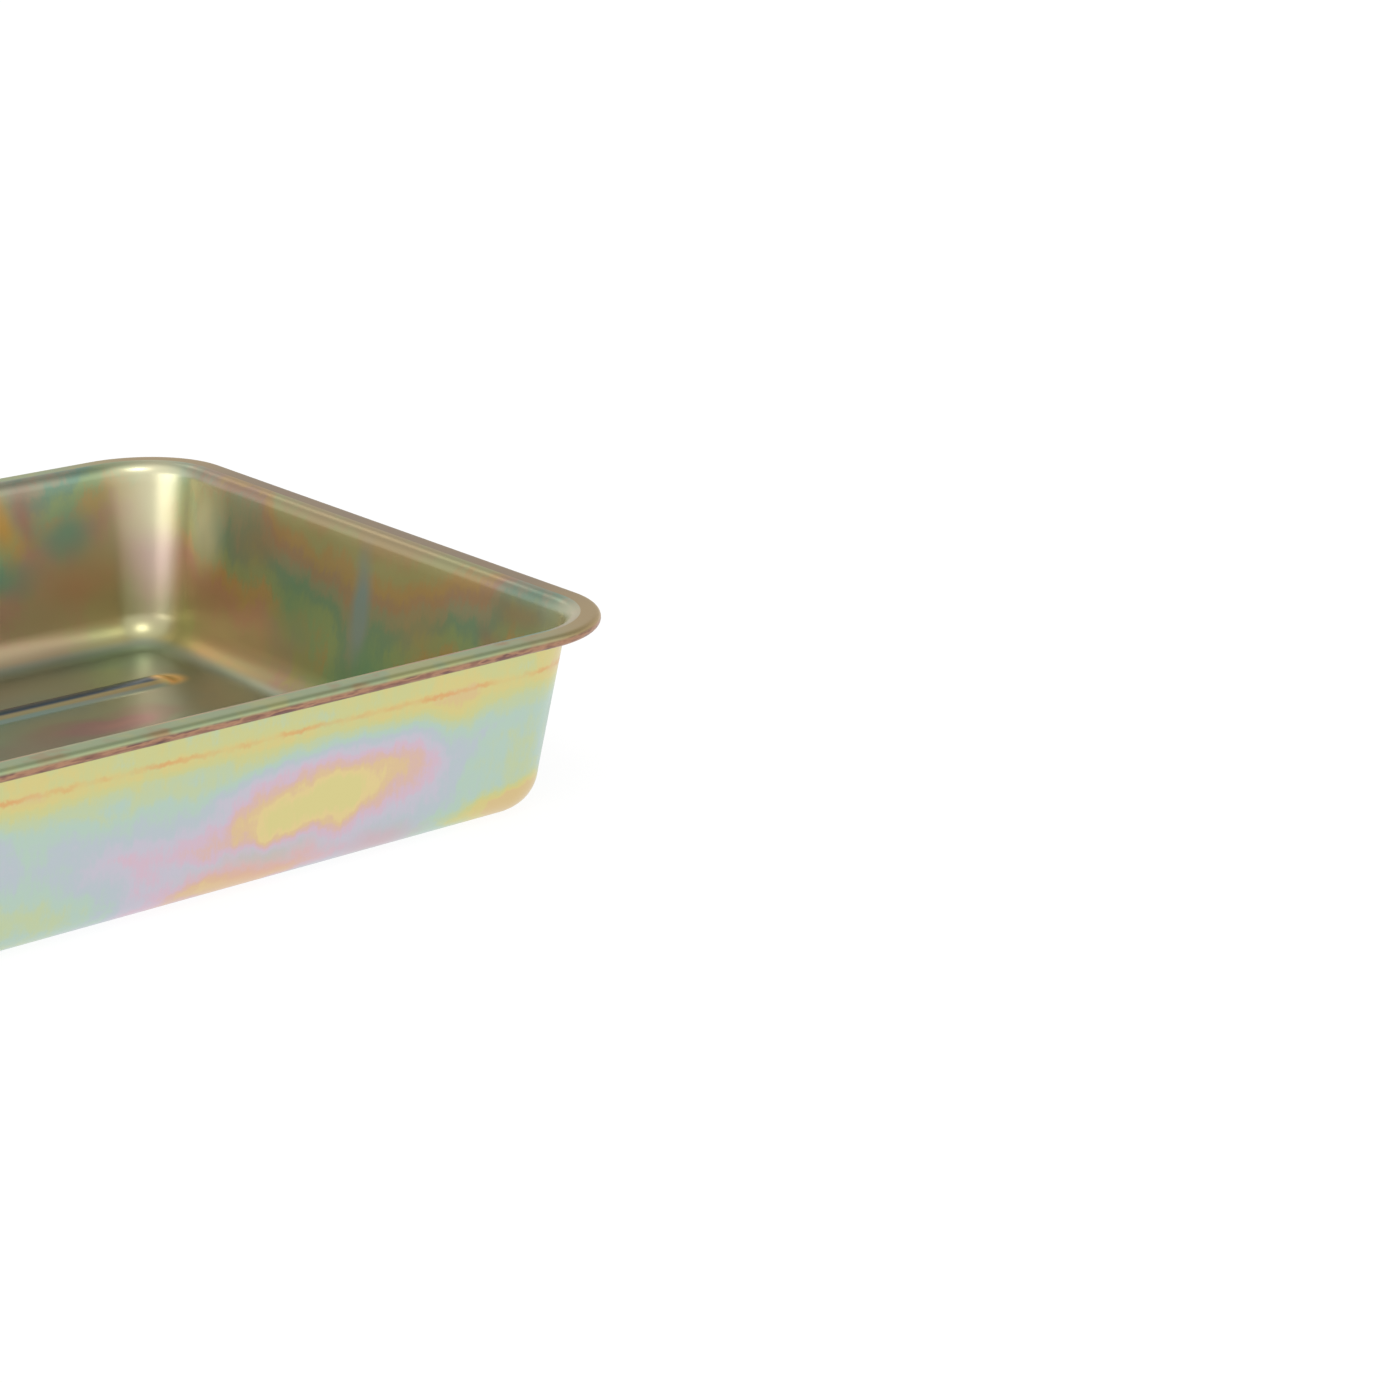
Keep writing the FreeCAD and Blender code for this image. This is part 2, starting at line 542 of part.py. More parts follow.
def addClip(name, side):
    """Strip with a loop over the stub, two riveted tabs and a lip that stops the open leg."""
    body = newBody(name)
    onPivot(body, side)
    outer = "(clipBore + clipGauge)"
    strip = newSketch(body, name + "Outline", "XZ_Plane")
    addOutline(strip, [
        ("0 - clipReach", "0"),
        ("0 - clipReach", "0 - clipGauge"),
        ("0 - " + outer, "0 - clipGauge"),
        ("0 - " + outer, "0 - pivotDrop"),
        (outer, "0 - pivotDrop"),
        (outer, "0 - clipGauge"),
        ("clipReach", "0 - clipGauge"),
        ("clipReach", "0"),
        ("clipBore", "0"),
        ("clipBore", "0 - pivotDrop"),
        ("0 - clipBore", "0 - pivotDrop"),
        ("0 - clipBore", "0"),
    ], arcs={3: ("0 - pivotDrop", -1), 9: ("0 - pivotDrop", -1)})
    loop = body.newObject("PartDesign::Pad", name + "Strip")
    loop.Profile = strip
    loop.Midplane = True
    bind(loop, "Length", "clipWidth")

    faceX = "(0 - cos(stopLean * 1deg) * stopFace)"
    faceZ = "(0 - pivotDrop - sin(stopLean * 1deg) * stopFace)"
    lean = "tan(stopLean * 1deg)"
    low = "(0 - stopLength * cos(stopLean * 1deg))"
    back = "clipGauge / cos(stopLean * 1deg)"
    atTop = "%s - (0 - %s) * %s" % (faceX, faceZ, lean)
    atTab = "%s - (0 - clipGauge - %s) * %s" % (faceX, faceZ, lean)
    atLow = "%s - (%s - %s) * %s" % (faceX, low, faceZ, lean)
    lift = "0 - clipWidth / 2 - stopWidth" if side > 0 else "clipWidth / 2"
    lip = newSketch(body, name + "StopOutline", "XZ_Plane", lift=lift)
    addOutline(lip, [
        ("0 - clipReach", "0"),
        ("0 - clipReach", "0 - clipGauge"),
        (atTab + " - " + back, "0 - clipGauge"),
        (atLow + " - " + back, low),
        (atLow, low),
        (atTop, "0"),
    ])
    stop = body.newObject("PartDesign::Pad", name + "Stop")
    stop.Profile = lip
    bind(stop, "Length", "stopWidth")

    holes = newSketch(body, name + "Holes", "XY_Plane")
    for i, end in enumerate((1, -1)):
        place = "%d * rivetReach" % end
        centre = Vector(number(place), 0, 0)
        holes.addGeometry(Part.Circle(centre, Vector(0, 0, 1), number("rivetShank")), False)
        index = holes.addConstraint(Sketcher.Constraint("Radius", i, number("rivetShank")))
        bind(holes, "Constraints[%d]" % index, "rivetShank")
        pin(holes, i, 3, place, "0")
    doc.recompute()
    volume = body.Shape.Volume
    cut = body.newObject("PartDesign::Pocket", name + "RivetHoles")
    cut.Profile = holes
    cut.Midplane = True
    bind(cut, "Length", "clipGauge * 3")
    doc.recompute()
    assert body.Shape.Volume < volume, "the clip's holes cut nothing"
    bendX = number(outer)
    bendZ = number("0 - clipGauge")
    width = number("clipWidth")
    addFillet(body, name + "Bends", "clipGauge * 0.7",
              lambda edge: edge.BoundBox.YLength > width - 0.01
              and edge.BoundBox.XLength < 0.01
              and abs(abs(edge.BoundBox.XMax) - bendX) < 0.01
              and abs(edge.BoundBox.ZMax - bendZ) < 0.01)
    return body


def addRivet(name, side, end):
    """Round-headed rivet through pan and clip, turned about its own axis."""
    body = newBody(name)
    onPivot(body, side)
    profile = newSketch(body, name + "Profile", "XZ_Plane")
    bind(profile, ".AttachmentOffset.Base.x", "%d * rivetReach" % end)
    corners = [
        ("0", "0 - clipGauge - rivetDome"),
        ("rivetHead", "0 - clipGauge"),
        ("rivetShank", "0 - clipGauge"),
        ("rivetShank", "sheetGauge"),
        ("rivetHead", "sheetGauge"),
        ("0", "sheetGauge + rivetDome"),
    ]
    addOutline(profile, corners, arcs={
        0: ("domeRadius - clipGauge - rivetDome", -1),
        4: ("sheetGauge + rivetDome - domeRadius", 1),
    })
    turned = body.newObject("PartDesign::Revolution", name + "Turned")
    turned.Profile = profile
    turned.ReferenceAxis = (profile, ["V_Axis"])
    turned.Angle = 360
    doc.recompute()
    return body


def addSleeve(name, side):
    """Tube pushed over the foot bar."""
    body = newBody(name)
    onLeg(body)
    tube = newSketch(body, name + "Ring", "XZ_Plane", shift="0 - legLength",
                     lift="%d * sleeveSpread / 2" % -side)
    for i, radius in enumerate(("sleeveRadius", "wireRadius")):
        tube.addGeometry(Part.Circle(Vector(), Vector(0, 0, 1), number(radius)), False)
        tube.addConstraint(Sketcher.Constraint("Coincident", i, 3, -1, 1))
        index = tube.addConstraint(Sketcher.Constraint("Radius", i, number(radius)))
        bind(tube, "Constraints[%d]" % index, radius)
    pad = body.newObject("PartDesign::Pad", name + "Tube")
    pad.Profile = tube
    pad.Midplane = True
    bind(pad, "Length", "sleeveLength")
    outside = number("2 * sleeveRadius")
    addFillet(body, name + "Ends", "sleeveRound",
              lambda edge: edge.Closed and abs(edge.BoundBox.ZLength - outside) < 0.05)
    return body


pieces = [pan, addLeg()]
for word, side in (("left", 1), ("right", -1)):
    pieces.append(addClip("leg_clip_" + word, side))
    pieces.append(addRivet("clip_rivet_%s_lower" % word, side, 1))
    pieces.append(addRivet("clip_rivet_%s_upper" % word, side, -1))
    pieces.append(addSleeve("foot_sleeve_" + word, side))


# ---- test and write ----

doc.recompute()
for item in doc.Objects:
    assert "Invalid" not in item.State and "Error" not in item.State, item.Name
os.makedirs("parts", exist_ok=True)
for piece in pieces:
    shape = piece.Shape
    assert not shape.isNull() and shape.isValid(), piece.Label
    assert len(shape.Solids) == 1, piece.Label
    shape.exportStep("parts/%s.step" % piece.Label)
    box = shape.BoundBox
    print("%-24s %9.1f mm3  x %.2f %.2f  y %.2f %.2f  z %.2f %.2f" % (
        piece.Label, shape.Volume, box.XMin, box.XMax, box.YMin, box.YMax, box.ZMin, box.ZMax))
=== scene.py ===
import bpy
import math
import numpy as np
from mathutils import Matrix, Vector


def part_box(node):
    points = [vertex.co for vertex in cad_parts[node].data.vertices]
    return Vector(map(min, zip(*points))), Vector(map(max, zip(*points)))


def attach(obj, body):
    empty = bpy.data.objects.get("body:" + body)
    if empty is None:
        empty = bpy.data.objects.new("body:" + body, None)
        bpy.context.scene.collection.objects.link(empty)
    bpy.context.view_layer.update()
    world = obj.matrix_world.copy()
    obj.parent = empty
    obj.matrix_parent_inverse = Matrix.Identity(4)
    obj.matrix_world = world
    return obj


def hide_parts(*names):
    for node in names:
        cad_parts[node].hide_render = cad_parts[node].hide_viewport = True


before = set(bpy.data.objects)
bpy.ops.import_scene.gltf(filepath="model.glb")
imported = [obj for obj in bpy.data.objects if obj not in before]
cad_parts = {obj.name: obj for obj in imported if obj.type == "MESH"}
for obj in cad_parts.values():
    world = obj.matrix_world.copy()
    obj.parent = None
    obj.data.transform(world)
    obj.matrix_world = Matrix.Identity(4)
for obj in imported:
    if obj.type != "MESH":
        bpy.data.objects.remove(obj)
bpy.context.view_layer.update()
mm = 0.001


def addPiece(name, vertices, faces):
    mesh = bpy.data.meshes.new(name)
    mesh.from_pydata([tuple(v) for v in vertices], [], faces)
    mesh.update()
    mesh.shade_smooth()
    piece = bpy.data.objects.new(name, mesh)
    bpy.context.scene.collection.objects.link(piece)
    return piece


def applyModifiers(piece):
    depsgraph = bpy.context.evaluated_depsgraph_get()
    mesh = bpy.data.meshes.new_from_object(piece.evaluated_get(depsgraph))
    old = piece.data
    piece.modifiers.clear()
    piece.data = mesh
    bpy.data.meshes.remove(old)


pan = {
    "gauge": 0.6 * mm,
    "curlRadius": 1.95 * mm,
    "curlTurn": 290,            # degrees that the rim's edge is rolled through
    "flange": 10 * mm,          # rim edge to the wall
    "rimCorner": 34.5 * mm,
    "rimBend": 5 * mm,
    "draft": 9.7,               # degrees that the walls lean out
    "baseCorner": 18 * mm,
    "baseFillet": 13.8 * mm,
    "rampFillet": 34 * mm,
    "flatLength": 228 * mm,     # deep end to the foot of the ramp
    "shallowDepth": 20 * mm,
    "draw": 0.07 * mm,          # height of the upright waves that drawing leaves in the walls
    "buckle": 0.10 * mm,        # height of the slow waves in the floor
    "buckleEdge": 0.06,         # share of the floor over which they die away at its edges
    "cell": 1.5 * mm,           # mesh spacing on the floor
    "cornerCells": 20,          # mesh cells round each corner
    "curlCells": 18,            # and across the rolled edge
    "flangeCells": 4,
    "bendCells": 9,             # across the bend from flange to wall
    "wallCells": 15,
    "filletCells": 12,
}

ribs = {
    "height": 2.1 * mm,
    "half": 6.4 * mm,           # half width, with its soft edges
    "start": 44 * mm,           # deep end of the rim to the tips
    "stop": 18 * mm,            # ends to the foot of the ramp
    "pitch": 72 * mm,
}

bumps = {
    "height": 1.6 * mm,
    "half": 5.6 * mm,
    "length": 24 * mm,
    "first": 28 * mm,           # foot of the ramp to the first row
    "row": 32 * mm,
    "column": 44 * mm,
    "grids": [(5, 3, 0), (4, 2, 0.5)],      # columns, rows, and how many rows up the grid starts
}

panLow, panHigh = [np.array(corner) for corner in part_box("tray_pan")]
halfX, halfY = (panHigh[:2] - panLow[:2]) / 2
middleX = (panHigh[0] + panLow[0]) / 2
rimZ = panHigh[2]
bendZ = rimZ - pan["rimBend"]
draft = math.radians(pan["draft"])
lean = math.tan(draft)
wallTop = pan["flange"] + pan["gauge"] / math.cos(draft)
rampRun = 2 * halfX - pan["flatLength"] - pan["flange"] - pan["shallowDepth"] * lean
slope = math.atan2(rimZ - pan["shallowDepth"], rampRun)
footX = panHigh[0] - pan["flatLength"]
bendX = footX + pan["gauge"] * math.tan(slope / 2)
footRound = pan["rampFillet"] - pan["gauge"]
footReach = footRound * math.tan(slope / 2)
ball = pan["baseFillet"] - pan["gauge"]


def floorHeight(x):
    # upper face of floor, ramp and the round between them
    ramp = pan["gauge"] + (bendX - x) * math.tan(slope)
    run = np.clip(bendX + footReach - x, 0, footRound)
    arc = pan["gauge"] + footRound - np.sqrt(footRound ** 2 - run ** 2)
    height = np.where(x > bendX + footReach, pan["gauge"], arc)
    return np.where(x < bendX - footReach * math.cos(slope), ramp, height)


def floorTilt(x):
    run = np.clip((bendX + footReach - x) / footRound, 0, math.sin(slope))
    return np.arcsin(run)


def wallInset(z):
    return wallTop + (rimZ - z) * lean


def wallRadius(z):
    top = pan["rimCorner"] - wallTop
    low = pan["baseCorner"] - pan["gauge"]
    return top + (low - top) * (rimZ - z) / (rimZ - pan["gauge"])


def perimeterColumns(cellsX, cellsY):
    # each column: where its arc's centre sits between the corners, and the way it faces
    half = pan["cornerCells"] // 2
    columns = []
    for side, count in enumerate((cellsX, cellsY, cellsX, cellsY)):
        for i in range(count):
            along = min(max((i - half) / (count - 2 * half), 0), 1) * 2 - 1
            bend = (min(i, half) - half + max(i - count + half, 0)) / half * 45
            angle = math.radians(side * 90 - 90 + bend)
            centre = [(along, -1), (1, along), (-along, 1), (-1, -along)][side]
            columns.append((centre[0], centre[1], math.cos(angle), math.sin(angle)))
    return np.array(columns)


def ringAt(columns, inset, radius, z):
    x = middleX + columns[:, 0] * (halfX - inset - radius) + radius * columns[:, 2]
    y = columns[:, 1] * (halfY - inset - radius) + radius * columns[:, 3]
    return np.stack([x, y, np.broadcast_to(z, x.shape)], axis=1)


def filletCentres(columns):
    # middle of the ball that rolls between the wall and the floor or ramp, column by column
    across = ball / math.cos(draft)
    z = np.full(len(columns), pan["gauge"] + ball)
    rounds = 40                                             # enough for the ball to settle
    for settling in range(rounds):
        centre = ringAt(columns, wallInset(z) + across, wallRadius(z) - across, z)
        touch = centre[:, 0].copy()
        for sliding in range(rounds // 2):
            touch = centre[:, 0] - ball * np.sin(floorTilt(touch))
        z = floorHeight(touch) + ball * np.cos(floorTilt(touch))
    return centre, floorTilt(touch)


def softBump(distance, half):
    part = np.clip(distance / half, 0, 1)
    return (1 - part ** 2) * (1 - part ** 10)


def bumpHeights(x, y, z):
    # how far the ribs lift the floor, and how far the beads lift the ramp
    lift = np.zeros_like(x)
    start = footX + ribs["stop"] + ribs["half"]
    end = panHigh[0] - ribs["start"] - ribs["half"]
    for column in (-1, 0, 1):
        past = np.maximum(np.abs(x - (start + end) / 2) - (end - start) / 2, 0)
        distance = np.hypot(past, y - column * ribs["pitch"])
        lift = np.maximum(lift, ribs["height"] * softBump(distance, ribs["half"]))
    up = (footX - x) * math.cos(slope) + z * math.sin(slope)
    onRamp = np.zeros_like(x)
    reach = bumps["length"] / 2 - bumps["half"]
    for columnCount, rowCount, skipped in bumps["grids"]:
        for column in range(columnCount):
            for row in range(rowCount):
                beadY = (column - (columnCount - 1) / 2) * bumps["column"]
                beadUp = bumps["first"] + (skipped + row) * bumps["row"]
                past = np.maximum(np.abs(up - beadUp) - reach, 0)
                distance = np.hypot(past, y - beadY)
                onRamp = np.maximum(onRamp, bumps["height"] * softBump(distance, bumps["half"]))
    return lift, onRamp


def drawWaves(columns):
    # slow ups and downs round the wall, the same from rim to floor
    turn = np.linspace(0, 2 * math.pi, len(columns), endpoint=False)
    waves = [(7, 0.9, 0.4), (13, 0.7, 2.1), (22, 0.5, 4.0), (37, 0.35, 1.2), (61, 0.2, 5.3)]
    return sum(size * np.sin(count * turn + phase) for count, size, phase in waves) / 2


def rimRings(columns):
    curl, rings = pan["curlRadius"], []
    for i in range(pan["curlCells"]):                       # rolled edge, from its mouth to the top
        turn = math.radians(pan["curlTurn"]) * (1 - i / pan["curlCells"])
        inset = curl * (1 - math.sin(turn))
        z = rimZ - curl * (1 - math.cos(turn))
        rings.append(ringAt(columns, inset, pan["rimCorner"] - inset, z))

    bendInset = wallInset(bendZ) - pan["rimBend"] / math.cos(draft)
    for i in range(pan["flangeCells"]):                     # flat of the flange
        inset = curl + (bendInset - curl) * i / pan["flangeCells"]
        rings.append(ringAt(columns, inset, pan["rimCorner"] - inset, rimZ))

    for i in range(pan["bendCells"]):                       # bend from flange to wall
        turn = (math.pi / 2 - draft) * i / pan["bendCells"]
        inset = bendInset + pan["rimBend"] * math.sin(turn)
        z = bendZ + pan["rimBend"] * math.cos(turn)
        rings.append(ringAt(columns, inset, wallRadius(z) + wallInset(z) - inset, z))
    return rings


def wallRings(columns):
    outward = np.stack([columns[:, 2], columns[:, 3], np.zeros(len(columns))], axis=1)
    toWall = outward * math.cos(draft) - np.array([0, 0, math.sin(draft)])
    centre, tilt = filletCentres(columns)
    upper = bendZ + pan["rimBend"] * math.sin(draft)
    lower = centre[:, 2] - ball * math.sin(draft)
    waves = drawWaves(columns)[:, None]
    rings = []
    for i in range(pan["wallCells"]):                       # wall
        z = upper + (lower - upper) * i / pan["wallCells"]
        swell = math.sin(math.pi * i / pan["wallCells"]) ** 0.5
        wall = ringAt(columns, wallInset(z), wallRadius(z), z)
        rings.append(wall - toWall * waves * swell * pan["draw"])

    toFloor = np.stack([-np.sin(tilt), np.zeros(len(columns)), -np.cos(tilt)], axis=1)
    spread = np.arccos(np.clip((toWall * toFloor).sum(axis=1), -1, 1))[:, None]
    for i in range(pan["filletCells"] + 1):                 # round from wall to floor
        part = i / pan["filletCells"]
        way = toWall * np.sin((1 - part) * spread) + toFloor * np.sin(part * spread)
        rings.append(centre + ball * way / np.sin(spread))
    return rings


def floorPatch(border, index):
    # points of the floor and ramp, evenly between the four sides of the border
    low, high = border[index[:, 0]][:, None], border[index[:, -1]][:, None]
    left, right = border[index[0]][None], border[index[-1]][None]
    u = ((low + high) / 2)[:, :, :1]
    v = ((left + right) / 2)[:, :, 1:2]
    u = (u - u[0]) / (u[-1] - u[0])
    v = (v - v[:, :1]) / (v[:, -1:] - v[:, :1])
    patch = (1 - v) * low + v * high + (1 - u) * left + u * right
    patch = patch - (1 - u) * ((1 - v) * low[0, 0] + v * high[0, 0])
    patch = patch - u * ((1 - v) * low[-1, 0] + v * high[-1, 0])
    x, y = patch[:, :, 0], patch[:, :, 1]
    z = floorHeight(x)
    lift, onRamp = bumpHeights(x, y, z)
    fromEdge = np.minimum(np.minimum(u, 1 - u), np.minimum(v, 1 - v))[:, :, 0]
    slow = 1 + np.sin(x * 41 + 1.3 + 0.6 * np.sin(y * 23)) * np.sin(y * 35 + 0.4)
    buckle = pan["buckle"] * np.clip(fromEdge / pan["buckleEdge"], 0, 1) * slow
    patch[:, :, 0] += onRamp * math.sin(slope)
    patch[:, :, 2] = z + lift + onRamp * math.cos(slope) + buckle
    return patch


def buildPan():
    inner = wallInset(pan["gauge"]) + ball
    cellsX = pan["cornerCells"] + round((2 * halfX - 2 * inner) / pan["cell"])
    cellsY = pan["cornerCells"] + round((2 * halfY - 2 * inner) / pan["cell"])
    columns = perimeterColumns(cellsX, cellsY)
    count = len(columns)
    rings = rimRings(columns) + wallRings(columns)
    vertices = list(np.concatenate(rings))
    faces = []
    for level in range(len(rings) - 1):
        a, b = level * count, (level + 1) * count
        for i in range(count):
            j = (i + 1) % count
            faces.append((a + i, a + j, b + j, b + i))

    # the last ring is the border of a patch that closes the floor
    index = np.zeros((cellsX + 1, cellsY + 1), dtype=int)
    index[:, 0] = np.arange(cellsX + 1)
    index[-1, :] = cellsX + np.arange(cellsY + 1)
    index[:, -1] = (2 * cellsX + cellsY - np.arange(cellsX + 1)) % count
    index[0, :] = (count - np.arange(cellsY + 1)) % count
    patch = floorPatch(rings[-1], index)
    index += (len(rings) - 1) * count
    for i in range(1, cellsX):
        for j in range(1, cellsY):
            index[i, j] = len(vertices)
            vertices.append(patch[i, j])
    for i in range(cellsX):
        for j in range(cellsY):
            faces.append((index[i, j], index[i + 1, j], index[i + 1, j + 1], index[i, j + 1]))

    piece = addPiece("passivated_pan", vertices, faces)
    rimFaces = (pan["curlCells"] + pan["flangeCells"]) * count
    for polygon in piece.data.polygons[:rimFaces]:
        polygon.material_index = 2
    sheet = piece.modifiers.new("gauge", "SOLIDIFY")
    sheet.thickness = pan["gauge"]
    sheet.offset = -1
    sheet.use_rim = True
    sheet.material_offset = 1                               # the underside takes the next finish
    return piece


panPiece = buildPan()
print("pan built", len(panPiece.data.vertices), "points")


def tone(code):
    # linear colour from a six-figure hex code
    parts = [int(code[i:i + 2], 16) / 255 for i in (0, 2, 4)]
    return tuple(p / 12.92 if p < 0.04045 else ((p + 0.055) / 1.055) ** 2.4 for p in parts) + (1,)


def feed(tree, socket, value):
    if isinstance(value, bpy.types.NodeSocket):
        tree.links.new(value, socket)
    else:
        socket.default_value = value


def calc(tree, operation, first, second=0.0, third=0.0):
    node = tree.nodes.new("ShaderNodeMath")
    node.operation = operation
    for socket, value in zip(node.inputs, (first, second, third)):
        feed(tree, socket, value)
    return node.outputs[0]


def total(tree, values):
    result = values[0]
    for value in values[1:]:
        result = calc(tree, "ADD", result, value)
    return result


def between(tree, value, low, high, fromLow=0.0, toHigh=1.0):
    # eased step from fromLow to toHigh as value goes from low to high
    node = tree.nodes.new("ShaderNodeMapRange")
    node.interpolation_type = "SMOOTHSTEP"
    feed(tree, node.inputs["Value"], value)
    feed(tree, node.inputs["From Min"], low)
    feed(tree, node.inputs["From Max"], high)
    feed(tree, node.inputs["To Min"], fromLow)
    feed(tree, node.inputs["To Max"], toHigh)
    return node.outputs["Result"]


def axesOf(tree, vector):
    split = tree.nodes.new("ShaderNodeSeparateXYZ")
    tree.links.new(vector, split.inputs["Vector"])
    return split.outputs


def towards(tree, vector, way):
    node = tree.nodes.new("ShaderNodeVectorMath")
    node.operation = "DOT_PRODUCT"
    tree.links.new(vector, node.inputs[0])
    node.inputs[1].default_value = way
    return node.outputs["Value"]


studio = {
    "floorSize": 14,
    "floorColour": (0.16, 0.16, 0.16, 1),
    "floorGlow": 0.90,          # back lit, so that shadows stay faint
    "nearSky": (0.95, 0.95),    # brightness at the horizon and high up, behind the camera
    "nearHeights": (0.0, 0.7),  # heights of way between which it changes
    "farSky": (0.68, 0.50),     # and on the far side
    "farHeights": (0.28, 0.62),
    "nearSide": (-0.35, 0.25),  # how far round the far sky gives way to the near one
    "flag": (0.60, -0.12, 0.79),    # way to a black flag, which the ribs and the rolled rim mirror
    "flagEdge": (0.86, 0.96),       # how near to that way the darkening starts and ends
    "flagLight": 0.74,              # light that it leaves
    "softboxes": [                  # name, place, aim, size in metres, watts
        ("overhead", (-0.5, -1.0, 1.8), (0, 0, 0), (0.8, 0.8), 6),
        ("sidePanel", (-1.5, -0.05, 0.28), (0.15, 0.1, 0.04), (1.1, 0.55), 3.0),
        ("backPanel", (0.24, 1.2, 1.05), (0.15, 0.1, 0.04), (0.35, 0.3), 0.3),
    ],
    "lens": 87.4,
    "eye": (-438.9 * mm, -914.4 * mm, 369.8 * mm),
    "look": (0.60892, 0.72852, -0.31382),
}


def addFloor():
    half = studio["floorSize"] / 2
    corners = [(-half, -half, 0), (half, -half, 0), (half, half, 0), (-half, half, 0)]
    ground = addPiece("floor", corners, [(0, 1, 2, 3)])
    paint = bpy.data.materials.new("floorPaint")
    paint.use_nodes = True
    shader = paint.node_tree.nodes["Principled BSDF"]
    shader.inputs["Base Color"].default_value = studio["floorColour"]
    shader.inputs["Emission Color"].default_value = (1, 1, 1, 1)
    shader.inputs["Emission Strength"].default_value = studio["floorGlow"]
    shader.inputs["Roughness"].default_value = 0.9
    shader.inputs["Specular IOR Level"].default_value = 0
    ground.data.materials.append(paint)


def addSky():
    sky = bpy.data.worlds.new("studioSky")
    bpy.context.scene.world = sky
    sky.use_nodes = True
    tree = sky.node_tree
    where = tree.nodes.new("ShaderNodeTexCoord").outputs["Generated"]
    height = axesOf(tree, where)["Z"]
    far = between(tree, height, *studio["farHeights"], *studio["farSky"])
    near = between(tree, height, *studio["nearHeights"], *studio["nearSky"])
    behind = towards(tree, where, (-studio["look"][0], -studio["look"][1], 0))
    nearShare = between(tree, behind, *studio["nearSide"])
    light = calc(tree, "MULTIPLY_ADD", nearShare, calc(tree, "SUBTRACT", near, far), far)
    toFlag = towards(tree, where, studio["flag"])
    flagged = between(tree, toFlag, *studio["flagEdge"], 1.0, studio["flagLight"])
    background = tree.nodes["Background"]
    tree.links.new(calc(tree, "MULTIPLY", light, flagged), background.inputs["Strength"])
    background.inputs["Color"].default_value = (1, 1, 1, 1)


def addSoftbox(name, place, target, size, power):
    light = bpy.data.lights.new(name, "AREA")
    light.shape = "RECTANGLE"
    light.size, light.size_y = size
    light.energy = power
    lamp = bpy.data.objects.new(name, light)
    lamp.location = place
    lamp.rotation_euler = (Vector(target) - Vector(place)).to_track_quat("-Z", "Y").to_euler()
    bpy.context.scene.collection.objects.link(lamp)


def addCamera():
    camera = bpy.data.cameras.new("camera")
    camera.lens = studio["lens"]
    camera.sensor_width = 36
    camera.clip_start = 0.01
    viewer = bpy.data.objects.new("camera", camera)
    viewer.location = studio["eye"]
    viewer.rotation_euler = Vector(studio["look"]).to_track_quat("-Z", "Y").to_euler()
    bpy.context.scene.collection.objects.link(viewer)
    bpy.context.scene.camera = viewer


addFloor()
addSky()
for softbox in studio["softboxes"]:
    addSoftbox(*softbox)
addCamera()
bpy.context.scene.view_settings.view_transform = "Standard"
print("stage set")


def newFinish(name):
    finish = bpy.data.materials.new(name)
    finish.use_nodes = True
    tree = finish.node_tree
    coordinates = tree.nodes.new("ShaderNodeTexCoord")
    return finish, tree, tree.nodes["Principled BSDF"], coordinates.outputs["Object"]


def moved(tree, where, centre, size):
    # lengths in mm
    node = tree.nodes.new("ShaderNodeMapping")
    node.vector_type = "TEXTURE"
    tree.links.new(where, node.inputs["Vector"])
    node.inputs["Location"].default_value = [length * mm for length in centre]
    node.inputs["Scale"].default_value = [length * mm for length in size]
    return node.outputs["Vector"]


def noiseNode(tree, where, size, detail, rough, shift=(0, 0, 0)):
    # size is the length of one blotch along each axis, in mm
    node = tree.nodes.new("ShaderNodeTexNoise")
    node.inputs["Scale"].default_value = 1
    node.inputs["Detail"].default_value = detail
    node.inputs["Roughness"].default_value = rough
    tree.links.new(moved(tree, where, shift, size), node.inputs["Vector"])
    return node


def noise(tree, where, *blotches):
    return noiseNode(tree, where, *blotches).outputs["Fac"]


def uneven(tree, where, amount, *blotches):
    # noise that swings by the amount, up and down together
    return calc(tree, "MULTIPLY_ADD", noise(tree, where, *blotches), amount, -amount / 2)


def warped(tree, where, amount, size, detail):
    # place that wanders by the amount in mm
    blot = noiseNode(tree, where, size, detail, 0.6)
    centred = tree.nodes.new("ShaderNodeVectorMath")
    centred.operation = "MULTIPLY_ADD"
    tree.links.new(blot.outputs["Color"], centred.inputs[0])
    centred.inputs[1].default_value = (amount * mm,) * 3
    centred.inputs[2].default_value = (-amount * mm / 2,) * 3
    shifted = tree.nodes.new("ShaderNodeVectorMath")
    shifted.operation = "ADD"
    tree.links.new(where, shifted.inputs[0])
    tree.links.new(centred.outputs[0], shifted.inputs[1])
    return shifted.outputs[0]


def spot(tree, where, centre, size, strength):
    # soft round cloud, lengths in mm
    node = tree.nodes.new("ShaderNodeTexGradient")
    node.gradient_type = "SPHERICAL"
    tree.links.new(moved(tree, where, centre, size), node.inputs["Vector"])
    return between(tree, node.outputs["Fac"], 0.0, 1.0, 0.0, strength)


def blended(tree, factor, first, second):
    node = tree.nodes.new("ShaderNodeMix")
    node.data_type = "RGBA"
    feed(tree, node.inputs["Factor"], factor)
    feed(tree, node.inputs["A"], first)
    feed(tree, node.inputs["B"], second)
    return node.outputs["Result"]


def patched(tree, where, colour, patches):
    # clouds of another tint: centre and size in mm, tint, strength
    for centre, size, code, strength in patches:
        colour = blended(tree, spot(tree, where, centre, size, strength), colour, tone(code))
    return colour


